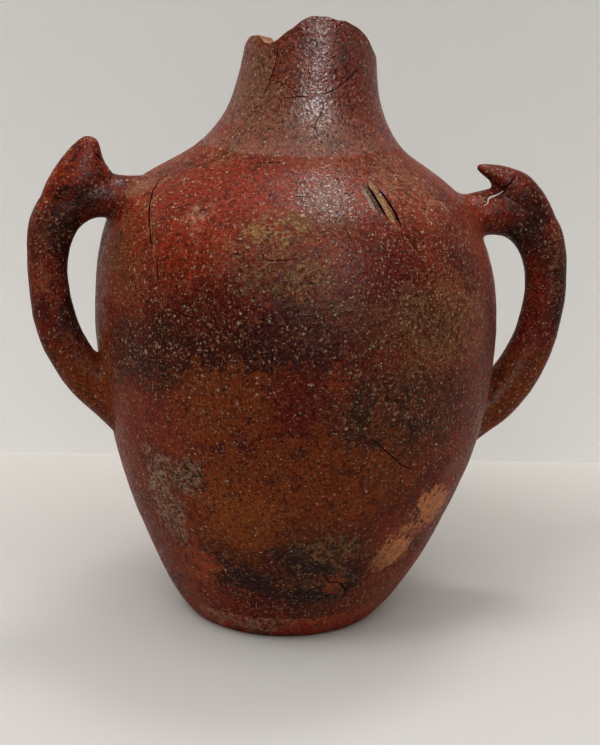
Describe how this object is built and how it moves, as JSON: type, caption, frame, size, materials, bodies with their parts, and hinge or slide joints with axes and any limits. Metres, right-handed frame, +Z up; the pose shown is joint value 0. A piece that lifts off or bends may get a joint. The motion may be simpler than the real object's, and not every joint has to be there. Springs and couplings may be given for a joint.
{
  "type": "pottery jar",
  "caption": "Coil-built earthenware jar with a round shoulder, narrow broken neck and two loop handles, each with a spur on its crown.",
  "frame": {"origin": "centre of the foot's flat underside, where the jar stands", "axes": "+Z up through the mouth, -Y towards the pictured front, handles towards -X and +X"},
  "size_m": [0.3178, 0.235, 0.3585],
  "materials": {
    "burnished_red_slip": "burnished red-brown slip with fire clouds, pale grit and worn patches, semi-gloss",
    "foot_clay": "rubbed red slip over bare orange clay, nearly matt",
    "dark_red_slip": "burnished dark maroon slip with pale grit, semi-gloss",
    "repair_plaster": "off-white restorer's fill, matt"
  },
  "bodies": {
    "root": {"foot_disc": "foot_clay", "wall_coil_1": "burnished_red_slip", "wall_coil_2": "burnished_red_slip", "wall_coil_3": "burnished_red_slip", "wall_coil_4": "burnished_red_slip", "wall_coil_5": "burnished_red_slip", "wall_coil_6": "burnished_red_slip", "wall_coil_7": "burnished_red_slip", "wall_coil_8": "burnished_red_slip", "wall_coil_9": "burnished_red_slip", "neck_coil": "burnished_red_slip", "broken_neck": "burnished_red_slip", "handle_left": "dark_red_slip", "handle_right": "dark_red_slip", "spur_left": "dark_red_slip", "spur_right": "dark_red_slip", "collar_left_upper": "burnished_red_slip", "collar_left_lower": "burnished_red_slip", "collar_right_upper": "burnished_red_slip", "collar_right_lower": "burnished_red_slip", "repair_fill": "repair_plaster"}
  },
  "joints": []
}
